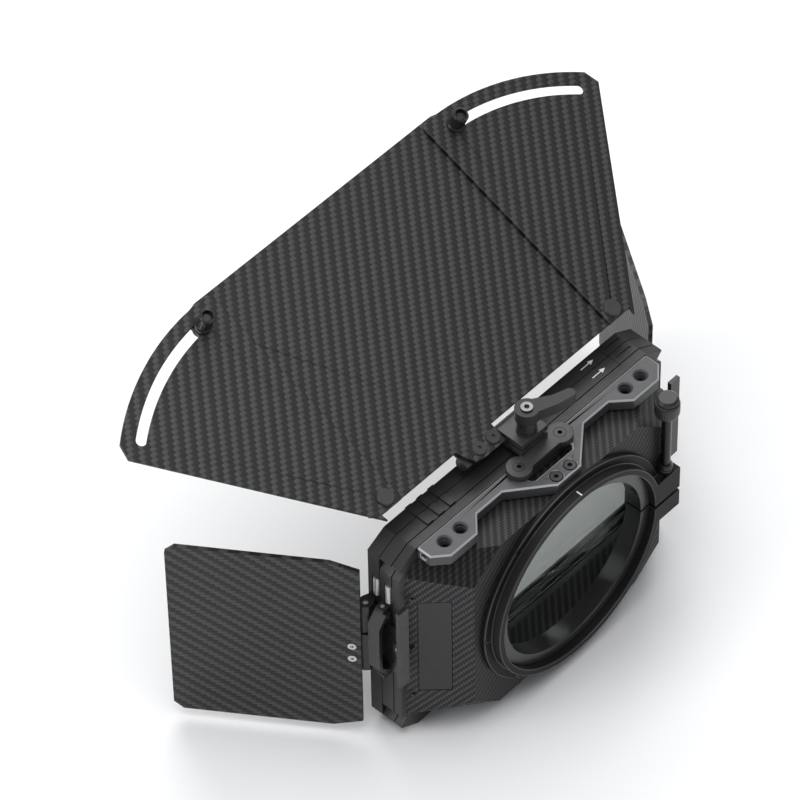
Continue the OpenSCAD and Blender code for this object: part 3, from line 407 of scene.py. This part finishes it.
def anodised(name, colour, roughness, spread=0.05):
    """Bead blasted, anodised aluminium: a fine grain, faint clouding and an uneven gloss."""
    finish = Finish(name)
    clouds = finish.noise(CLOUD, 3.0)
    grains = finish.noise(sizes().grain, 1.5)
    tone = finish.blend(clouds, shade(colour, 0.86), shade(colour, 1.14))
    finish.to("Base Color", finish.blend(finish.span(grains, 0.0, 0.35), tone, shade(colour, 1.6)))
    wear = finish.math("MULTIPLY", clouds, finish.noise(WEAR))
    finish.to("Roughness", finish.span(wear, roughness - spread, roughness + spread, 0.1, 0.4))
    finish.bump(grains, BLASTING_DEPTH)
    return finish.material


def turned(name, colour, roughness, axis, metal=1.0, gloss=SHEEN):
    """Metal turned on a lathe or drawn along an axis: fine rings square to the axis."""
    finish = Finish(name, gloss, Metallic=metal)
    stretch = Vector((1, 1, 1)) * 0.12 + axis * 0.88
    rings = finish.noise(TURNING, place=finish.stretched(stretch))
    smudge = finish.noise(SMUDGE)
    finish.to("Base Color", finish.blend(finish.span(rings, 0.0, 1.0, 0.3, 0.7),
                                         shade(colour, 0.82), shade(colour, 1.08)))
    finish.to("Roughness", finish.math("ADD", finish.span(rings, roughness - 0.05, roughness + 0.07),
                                       finish.span(smudge, -0.03, 0.04)))
    finish.bump(rings, TURNING_DEPTH)
    return finish.material


def woven(finish, u, v, tow, depth=SHEET_DEPTH, contrast=1.0, tone=(1, 1, 1)):
    """Carbon cloth in 2/2 twill under a matt skin. u and v are distances along and across the sheet.
    Tows that lie along u are painted light, a painted sheen of their fibres, and the tows across them
    are the same fibres out of that sheen; the diagonal steps one tow on with each row. contrast
    draws the two colours of tow apart, and tone is what both are multiplied by."""
    u, v = finish.math("DIVIDE", u, tow[0]), finish.math("DIVIDE", v, tow[1])
    column, row = finish.math("FLOOR", u), finish.math("FLOOR", v)
    in_u, in_v = finish.math("FRACT", u), finish.math("FRACT", v)
    step = finish.math("FLOORED_MODULO", finish.math("MULTIPLY_ADD", row, -1, column), 4.0)
    along = finish.math("LESS_THAN", step, 1.5)

    def tow_top(place, width):
        crown = finish.math("POWER", finish.math("SINE", finish.math("MULTIPLY", width, math.pi)), 0.45)
        reach = finish.math("POWER", finish.math("SINE", finish.math("MULTIPLY", place, math.pi)), 0.6)
        return finish.math("MULTIPLY", crown, reach)

    row_step = finish.math("SUBTRACT", 3.0, step)
    u_top = tow_top(finish.math("MULTIPLY", finish.math("ADD", step, in_u), 0.5), in_v)
    v_top = tow_top(finish.math("MULTIPLY", finish.math("ADD", row_step, in_v), 0.5), in_u)
    height = finish.mix(along, v_top, u_top)

    # Painted sheen: the light tow colour stands in for the light that the fibres along u reflect
    middle = [(a + b) / 2 for a, b in zip(colours().tow_painted_sheen, colours().tow_dark)]
    pale = [m + (a - m) * contrast for a, m in zip(colours().tow_painted_sheen, middle)]
    deep = [m + (a - m) * contrast for a, m in zip(colours().tow_dark, middle)]
    light = finish.blend(finish.fibres(u, v, tow, (0.06, 1.0)), shade(pale, 0.82), shade(pale, 1.2))
    dark = finish.blend(finish.fibres(u, v, tow, (1.0, 0.06)), shade(deep, 0.8), shade(deep, 1.3))
    gaps = finish.blend(finish.span(height, 0.0, 1.0, 0.05, 0.75), (0.35, 0.35, 0.35), tone)
    finish.to("Base Color", finish.blend(1.0, finish.blend(along, dark, light), gaps, "MULTIPLY"))
    finish.to("Roughness", finish.math("ADD", finish.span(along, 0.50, 0.42),
                                       finish.span(finish.noise(SKIN), -0.04, 0.04)))
    finish.bump(height, depth)
    return finish.material


def flat_cloth(name, across, out, tow, **look):
    """Twill on a flat sheet, laid along two directions of the part."""
    finish = Finish(name)
    return woven(finish, finish.along(across), finish.along(out), tow, **look)


def housing_cloth(name):
    """Fine twill laid round the housing: on its flat top, its slanting sides and its rear wall. The
    slanting sides are painted lighter, as painted side light.
    """
    finish = Finish(name, HOUSING)
    normal = finish.places.outputs["Normal"]
    upright = finish.math("ABSOLUTE", finish.along(UPRIGHT, normal))
    sideways = finish.math("ABSOLUTE", finish.along(ACROSS, normal))
    rear = finish.math("GREATER_THAN", finish.along(REARWARD, normal), 0.85)
    side = finish.math("GREATER_THAN", finish.math("SUBTRACT", sideways, rear), upright)
    round_it = finish.mix(side, finish.mix(rear, finish.along(ACROSS), finish.along(-ACROSS)),
                          finish.along(UPRIGHT))
    slant = finish.math("MULTIPLY_ADD", side, 0.38, 1.0)
    along_it = finish.math("MULTIPLY", finish.along(REARWARD), slant)
    back_it = finish.mix(rear, along_it, finish.along(UPRIGHT))
    # Painted light: the slanting sides are painted about twice as light as the top and the rear wall,
    # standing in for the side light that falls on them
    tone = finish.blend(side, (0.95, 0.95, 0.95), (1.9, 1.9, 1.9))
    return woven(finish, round_it, back_it, sizes().body_tow, HOUSING_DEPTH, contrast=0.65, tone=tone)


def lever_grey(name):
    """The lever's dark grey, over a neck that is turned and polished."""
    finish = Finish(name, LEVER)
    neck = finish.math("LESS_THAN", finish.along(UPRIGHT), NECK_TOP)
    grains = finish.noise(sizes().grain, 1.5)
    rings = finish.noise(POLISHING, place=finish.stretched((0.1, 0.1, 1)))
    flat = finish.blend(finish.span(grains, 0.0, 0.35), shade(colours().dark, 0.65),
                        shade(colours().dark, 1.05))
    round_it = finish.blend(rings, shade(colours().steel, 0.30), shade(colours().steel, 0.42))
    finish.to("Base Color", finish.blend(neck, flat, round_it))
    finish.to("Metallic", neck)
    finish.to("Roughness", finish.mix(neck, 0.38, finish.span(rings, 0.24, 0.32)))
    finish.bump(finish.mix(neck, grains, rings), NECK_DEPTH)
    return finish.material


def glass(name):
    """Coated optical glass with the faintest smears."""
    finish = Finish(name, CLEAR, Base_Color=(*colours().glass, 1), IOR=1.5, Transmission_Weight=1.0)
    smears = finish.noise(SMEAR, 3.0)
    finish.to("Roughness", finish.span(smears, 0.0, 0.012, 0.35, 0.75))
    return finish.material


def ink(name):
    """Slightly uneven white print."""
    finish = Finish(name, CLEAR)
    speckle = finish.noise(SPECKLE)
    finish.to("Base Color", finish.blend(finish.span(speckle, 0.0, 1.0, 0.3, 0.7),
                                         shade(colours().print_white, 0.85), colours().print_white))
    finish.to("Roughness", finish.span(speckle, 0.5, 0.65))
    return finish.material


MAKERS = {
    "black": lambda name: anodised(name, colours().black, 0.42),
    "black_satin": lambda name: anodised(name, colours().black, 0.30, 0.04),
    "dark_grey": lambda name: anodised(name, colours().dark, 0.38),
    "grey": lambda name: anodised(name, colours().grey, 0.42),
    "bright_edge": bright_edge,
    "black_turned": lambda name: turned(name, shade(colours().black, 1.5), 0.30, REARWARD, 0.0, CLEAR),
    "black_matt": lambda name: turned(name, shade(colours().black, 0.8), 0.46, REARWARD, 0.0, MATT),
    "black_rod": lambda name: turned(name, shade(colours().black, 0.5), 0.24, UPRIGHT, 0.0, ROD),
    "knob_black": lambda name: turned(name, shade(colours().black, 1.6), 0.34, UPRIGHT, 0.0),
    "black_steel": lambda name: turned(name, shade(colours().steel, 0.14), 0.32, UPRIGHT, 0.7),
    "steel": lambda name: turned(name, colours().steel, 0.30, UPRIGHT),
    "polished": lambda name: turned(name, shade(colours().bright, 0.3), 0.38, UPRIGHT),
    "bright": lambda name: turned(name, colours().bright, 0.28, UPRIGHT),
    "bright_pin": lambda name: turned(name, colours().bright, 0.26, ACROSS),
    "lever_grey": lever_grey,
    "housing_twill": housing_cloth,
    "top_flag_twill": lambda name: flat_cloth(
        name, ACROSS, turn("X", FLAG_TILT) @ REARWARD, sizes().top_tow, contrast=1.1, tone=(0.9, 0.9, 0.9)),
    "left_flag_twill": lambda name: flat_cloth(
        name, turn("Z", SIDE_ANGLE) @ -REARWARD, UPRIGHT, sizes().side_tow),
    "right_flag_twill": lambda name: flat_cloth(
        name, turn("Z", -SIDE_ANGLE) @ -REARWARD, UPRIGHT, sizes().side_tow),
    "glass": glass,
    "white_print": ink,
}


def finish_of(name):
    """The named finish, made the first time that a piece asks for it."""
    return bpy.data.materials.get(name) or MAKERS[name](name)


# Work on the metal parts and new pieces

def turn(axis, angle):
    return Matrix.Rotation(angle, 3, axis)


def dress(finish, *names, edge=None, segments=2, edge_finish=None):
    """Gives solid parts a finish and breaks their sharp edges. An edge finish, a lighter colour that serves
    as a painted highlight, marks only the square edges, at their full width."""
    for name in names:
        part = frame["nodes"][name]
        part.data.materials.clear()
        part.data.materials.append(finish_of(finish))
        weld = part.modifiers.new("weld", "WELD")
        weld.merge_threshold = 0.002 * MM
        bevel = part.modifiers.new("broken edges", "BEVEL")
        bevel.width = sizes().edge if edge is None else edge
        bevel.segments = segments
        bevel.limit_method = "ANGLE"
        bevel.angle_limit = CREASE
        if edge_finish:
            part.data.materials.append(finish_of(edge_finish))
            bevel.material = 1
            bevel.angle_limit = SQUARE
            bevel.use_clamp_overlap = False
            creases = part.modifiers.new("crisp edges", "EDGE_SPLIT")
            creases.split_angle = CREASE
            continue
        normals = part.modifiers.new("flat faces", "WEIGHTED_NORMAL")
        normals.keep_sharp = True
        normals.weight = 90


def add_piece(name, shape, finish, body, smooth=False):
    """Makes a piece from a bmesh, with its finish and its slot, and lets it ride on a body. A smooth
    piece keeps its creases."""
    mesh = bpy.data.meshes.new(name)
    bmesh.ops.recalc_face_normals(shape, faces=shape.faces)
    shape.to_mesh(mesh)
    shape.free()
    piece = bpy.data.objects.new(name, mesh)
    bpy.context.scene.collection.objects.link(piece)
    if smooth:
        mesh.shade_smooth()
        creases = piece.modifiers.new("crisp edges", "EDGE_SPLIT")
        creases.split_angle = CREASE
    mesh.materials.append(finish_of(finish))
    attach(piece, body)
    return piece


def plate(shape, outline, place, thickness):
    """Adds a thin plate to a bmesh, a fifth of its thickness below height 0. place turns an outline's
    point and a height into a point."""
    low = [shape.verts.new(place(a, b, -0.2 * thickness)) for a, b in outline]
    high = [shape.verts.new(place(a, b, thickness)) for a, b in outline]
    shape.faces.new(high)
    shape.faces.new(low[::-1])
    for i in range(len(outline)):
        j = (i + 1) % len(outline)
        shape.faces.new((low[i], low[j], high[j], high[i]))


def lathe(shape, foot, profile, ribs=16, depth=0.0, tube=False):
    """Adds a piece turned about an upright axis to a bmesh. The profile lists each radius and height in
    millimetres, and 1 where the grip's grooves reach. A tube has no ends: its profile is a closed ring."""
    around = 6 * ribs
    rings = []
    for radius, height, grooved in profile:
        ring = []
        for i in range(around):
            angle = 2 * math.pi * i / around
            reach = radius * MM - grooved * depth * max(0.0, math.cos(ribs * angle))
            ring.append(shape.verts.new(foot + Vector((reach * math.cos(angle), reach * math.sin(angle),
                                                       height * MM))))
        rings.append(ring)
    if tube:
        rings.append(rings[0])
    else:
        shape.faces.new(rings[0][::-1])
        shape.faces.new(rings[-1])
    for low, high in zip(rings, rings[1:]):
        for i in range(around):
            j = (i + 1) % around
            shape.faces.new((low[i], low[j], high[j], high[i]))


def thread(shape, mouth, down, radius, depth, pitch, turns):
    """Adds the helical ridge of an inner thread to a bmesh, from its mouth down the hole. The ridge
    fades out over a quarter turn at each end."""
    around = 28
    fade = around / 4
    side = down.orthogonal().normalized()
    other = down.cross(side)
    rings = []
    steps = int(around * turns)
    for i in range(steps + 1):
        angle = 2 * math.pi * i / around
        taper = min(1.0, i / fade, (steps - i) / fade)
        spoke = side * math.cos(angle) + other * math.sin(angle)
        along = mouth + down * (pitch * (i / around + 0.5))
        rings.append([shape.verts.new(along + spoke * (radius - inset) + down * (pitch * shift))
                      for inset, shift in ((-THREAD_ROOT, -0.42), (depth * taper, -0.08),
                                           (depth * taper, 0.08), (-THREAD_ROOT, 0.42))])
    for first, second in zip(rings, rings[1:]):
        for i in range(4):
            j = (i + 1) % 4
            shape.faces.new((first[i], first[j], second[j], second[i]))
    shape.faces.new(rings[0][::-1])
    shape.faces.new(rings[-1])


# Operators: one for each group of pieces

class PieceOperator:
    """What the operators share."""
    bl_options = {"REGISTER", "UNDO"}

    def execute(self, context):
        self.make()
        return {"FINISHED"}


class DressBody(PieceOperator, bpy.types.Operator):
    """Front plate, carbon housing and its inlays"""
    bl_idname = "mattebox.dress_body"
    bl_label = "Body"

    def make(self):
        dress("black", "body_frame")
        dress("housing_twill", "rear_housing", edge=ROUND_EDGE)
        dress("black_satin", "inlay_left", "inlay_right", edge=SOFT_EDGE)
        dress("black_steel", "frame_screws", edge=FINE_EDGE)


class AddWindowCorners(PieceOperator, bpy.types.Operator):
    """Cut corners of the plate's window, where it runs past the housing"""
    bl_idname = "mattebox.add_window_corners"
    bl_label = "Window corners"

    def make(self):
        x, z = WINDOW_CORNER
        outline = [(x, z), (x - CORNER_CUT[0], z), (x, z - CORNER_CUT[1])]
        shape = bmesh.new()
        for right in (-1, 1):
            for up in (-1, 1):
                plate(shape, outline, lambda a, b, h: (right * a, CORNER_FOOT + h, up * b),
                      CORNER_THICKNESS)
        add_piece("window_corners", shape, "black", "body")


class DressRingClamp(PieceOperator, bpy.types.Operator):
    """Split ring clamp with its inner ring and screws"""
    bl_idname = "mattebox.dress_ring_clamp"
    bl_label = "Ring clamp"

    def make(self):
        # Painted highlight: the ring's square edges take the lighter dark grey finish, standing in for the
        # light along its rims
        dress("black_matt", "clamp_ring", edge=RING_EDGE, edge_finish="dark_grey")
        dress("black_turned", "inner_ring")
        dress("black_steel", "clamp_ring_screws", edge=FINE_EDGE)
        dress("black_rod", "ring_clamp_screw", edge=PIN_EDGE)


class AddClampKnob(PieceOperator, bpy.types.Operator):
    """Capped knob of the ring clamp's screw, and the bush on the lug that the screw turns in"""
    bl_idname = "mattebox.add_clamp_knob"
    bl_label = "Clamp knob"

    def make(self):
        low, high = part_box("ring_clamp_knob")
        foot = Vector(((low.x + high.x) / 2, (low.y + high.y) / 2, low.z))
        shape = bmesh.new()
        lathe(shape, foot, KNOB_PROFILE, ribs=KNOB_RIBS, depth=sizes().knurl)
        knob = add_piece("clamp_knob_cap", shape, "knob_black", "clamp_screw",
                         smooth=True)
        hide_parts("ring_clamp_knob")

        shape = bmesh.new()
        lathe(shape, Vector((foot.x, foot.y, LUG_TOP)), BUSH_PROFILE, tube=True)
        add_piece("clamp_bush", shape, "black_satin", "body", smooth=True)


class DressBracket(PieceOperator, bpy.types.Operator):
    """Grey accessory bracket with broken edges painted pale, partly bare cut aluminium and partly a painted
    highlight
    """
    bl_idname = "mattebox.dress_bracket"
    bl_label = "Top bracket"

    def make(self):
        dress("grey", "top_bracket", edge=sizes().bracket_edge, segments=1, edge_finish="bright_edge")
        dress("black_steel", "bracket_screws", edge=FINE_EDGE)


class DressFlagClamp(PieceOperator, bpy.types.Operator):
    """Clamp of the top flag with its lever"""
    bl_idname = "mattebox.dress_flag_clamp"
    bl_label = "Flag clamp"

    def make(self):
        dress("dark_grey", "flag_clamp", edge=ROUND_EDGE)
        dress("lever_grey", "clamp_lever", edge=ROUND_EDGE)
        dress("black_steel", "flag_clamp_screws", edge=FINE_EDGE)
        dress("steel", "lever_bolt", edge=FINE_EDGE)
        dress("black_steel", "lever_washer", edge=SMALL_EDGE)
        dress("polished", "lever_cap_screw", edge=SOFT_EDGE)


class DressTrays(PieceOperator, bpy.types.Operator):
    """Both filter trays with gates, glass and rollers"""
    bl_idname = "mattebox.dress_trays"
    bl_label = "Filter trays"

    def make(self):
        for tray in ("rear", "front"):
            dress("black", tray + "_tray_frame", tray + "_tray_gate")
            dress("glass", tray + "_filter", edge=ROUND_EDGE)
            dress("steel", tray + "_roller_left", tray + "_roller_right", edge=SMALL_EDGE)


class DressLatches(PieceOperator, bpy.types.Operator):
    """Finger latches of the rear tray"""
    bl_idname = "mattebox.dress_latches"
    bl_label = "Latches"

    def make(self):
        for side in ("left", "right"):
            dress("black_satin", "latch_" + side)
            dress("steel", "latch_pins_" + side, "latch_screw_" + side, edge=FINE_EDGE)


class DressSideFlags(PieceOperator, bpy.types.Operator):
    """Side flags with their hinges"""
    bl_idname = "mattebox.dress_side_flags"
    bl_label = "Side flags"

    def make(self):
        for side in ("left", "right"):
            dress("black_satin", "hinge_bracket_" + side, "hinge_leaf_" + side)
            dress("steel", "hinge_screws_" + side, "hinge_pin_" + side, edge=FINE_EDGE)
            dress("bright", "hinge_barrel_" + side, "side_flag_screws_" + side, edge=SMALL_EDGE)
            dress(side + "_flag_twill", "side_flag_" + side, edge=sizes().sheet_edge)


class DressTopFlag(PieceOperator, bpy.types.Operator):
    """Top flag with its wings, studs and thumb nuts"""
    bl_idname = "mattebox.dress_top_flag"
    bl_label = "Top flag"

    def make(self):
        dress("bright_pin", "top_flag_pin", edge=PIN_EDGE)
        dress("black_satin", "top_flag_hinge", "thumb_nut_left", "thumb_nut_right", edge=NUT_EDGE)
        dress("dark_grey", "top_flag_screws", "wing_rivets", edge=SMALL_EDGE)
        dress("black_steel", "wing_studs", edge=FINE_EDGE)
        dress("top_flag_twill", "top_flag_panel", "top_wing_left", "top_wing_right",
              edge=sizes().sheet_edge)


class AddThreads(PieceOperator, bpy.types.Operator):
    """Threads of the bracket's accessory holes"""
    bl_idname = "mattebox.add_threads"
    bl_label = "Threads"

    def make(self):
        for hole in frame["record"]["mounts"]:
            if hole["kind"] != "threaded_hole":
                continue
            outward = Vector(hole["axis"])
            radius, length = hole["dims"]["r_mm"] * MM, hole["dims"]["length_mm"] * MM
            mouth = Vector(hole["pos_m"]) + outward * length / 2
            pitch = radius * sizes().thread_pitch
            shape = bmesh.new()
            turns = math.floor(length / pitch - 0.5)
            thread(shape, mouth, -outward, radius, THREAD_DEPTH * pitch, pitch, turns)
            add_piece(hole["name"] + "_thread", shape, "grey", "body")


class AddMarks(PieceOperator, bpy.types.Operator):
    """Printed arrows on the trays and the index line on the ring clamp"""
    bl_idname = "mattebox.add_marks"
    bl_label = "Marks"

    def make(self):
        length = sizes().arrow
        neck = length - ARROW_HEAD
        half, line = ARROW_WIDTH / 2, ARROW_LINE / 2
        outline = [(0, line), (0, -line), (neck, -line), (neck, -half), (length, 0), (neck, half),
                   (neck, line)]
        for tray in ("rear", "front"):
            low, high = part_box(tray + "_tray_frame")
            middle = (low.y + high.y) / 2
            shape = bmesh.new()
            plate(shape, outline, lambda a, b, h: (ARROW_START - a, middle + b, TRAY_TOP + h), PRINT)
            add_piece(tray + "_arrow", shape, "white_print", tray + "_tray")

        half, inner = INDEX_WIDTH / 2, CLAMP_MOUTH - sizes().index
        outline = [(-half, inner), (half, inner), (half, CLAMP_MOUTH), (-half, CLAMP_MOUTH)]
        shape = bmesh.new()
        plate(shape, outline, lambda a, b, h: (a, b, CLAMP_TOP + h), PRINT)
        add_piece("clamp_index", shape, "white_print", "body")


class SetStudio(PieceOperator, bpy.types.Operator):
    """Floor, lights, surroundings and camera"""
    bl_idname = "mattebox.set_studio"
    bl_label = "Studio"

    def make(self):
        settings = studio()
        floor_finish = Finish("floor_paper", MATT, Roughness=0.9)
        paper = floor_finish.noise(PAPER)
        floor_finish.to("Base Color", floor_finish.blend(paper, shade(settings.floor, 0.985),
                                                         settings.floor))
        shape = bmesh.new()
        bmesh.ops.create_grid(shape, x_segments=8, y_segments=8, size=FLOOR_REACH)
        mesh = bpy.data.meshes.new("floor")
        shape.to_mesh(mesh)
        shape.free()
        floor = bpy.data.objects.new("floor", mesh)
        floor.location.z = CAD_BOX[0].z
        mesh.materials.append(floor_finish.material)
        bpy.context.scene.collection.objects.link(floor)

        world = bpy.data.worlds.new("studio_room")
        world.use_nodes = True
        room = world.node_tree.nodes["Background"]
        room.inputs["Color"].default_value = ROOM_COLOUR
        room.inputs["Strength"].default_value = settings.sky
        bpy.context.scene.world = world

        for name, (place, size) in LIGHTS.items():
            self.soft_light(name, place, size, getattr(settings, name))

        view = bpy.context.scene.view_settings
        view.view_transform = "Standard"
        view.look = "None"

        lens = bpy.data.cameras.new("camera")
        lens.lens = settings.lens
        lens.sensor_width = SENSOR
        lens.clip_end = FAR
        camera = bpy.data.objects.new("camera", lens)
        bpy.context.scene.collection.objects.link(camera)
        camera.location = settings.camera
        ahead = Vector(settings.aim) - Vector(settings.camera)
        look = ahead.to_track_quat("-Z", "Y").to_matrix()
        camera.rotation_euler = (look @ turn("Z", settings.roll)).to_euler()
        bpy.context.scene.camera = camera

    def soft_light(self, name, place, size, power):
        lamp = bpy.data.lights.new(name, "AREA")
        lamp.shape = "RECTANGLE"
        lamp.size, lamp.size_y = size
        lamp.energy = power
        light = bpy.data.objects.new(name, lamp)
        bpy.context.scene.collection.objects.link(light)
        light.location = place
        light.rotation_euler = (-Vector(place)).to_track_quat("-Z", "Y").to_euler()


PIECES = (DressBody, AddWindowCorners, DressRingClamp, AddClampKnob, DressBracket, DressFlagClamp,
          DressTrays, DressLatches, DressSideFlags, DressTopFlag, AddThreads, AddMarks, SetStudio)


class MatteBoxPanel(bpy.types.Panel):
    """The matte box's pieces and settings"""
    bl_idname = "VIEW3D_PT_matte_box"
    bl_label = "Matte box"
    bl_space_type = "VIEW_3D"
    bl_region_type = "UI"
    bl_category = "Matte box"

    def draw(self, context):
        for piece in PIECES:
            self.layout.operator(piece.bl_idname)
        for group in (colours(), sizes(), studio()):
            box = self.layout.box()
            for name in group.bl_rna.properties.keys():
                if name not in ("rna_type", "name"):
                    box.prop(group, name)


GROUPS = (FinishColours, PieceSizes, StudioSettings)


def register():
    for kind in (*GROUPS, *PIECES, MatteBoxPanel):
        bpy.utils.register_class(kind)
    bpy.types.Scene.matte_box_colours = PointerProperty(type=FinishColours)
    bpy.types.Scene.matte_box_sizes = PointerProperty(type=PieceSizes)
    bpy.types.Scene.matte_box_studio = PointerProperty(type=StudioSettings)


def unregister():
    del bpy.types.Scene.matte_box_colours
    del bpy.types.Scene.matte_box_sizes
    del bpy.types.Scene.matte_box_studio
    for kind in reversed((*GROUPS, *PIECES, MatteBoxPanel)):
        bpy.utils.unregister_class(kind)


def main():
    register()
    for piece in PIECES:
        group, name = piece.bl_idname.split(".")
        getattr(getattr(bpy.ops, group), name)()


if __name__ == "__main__":
    main()
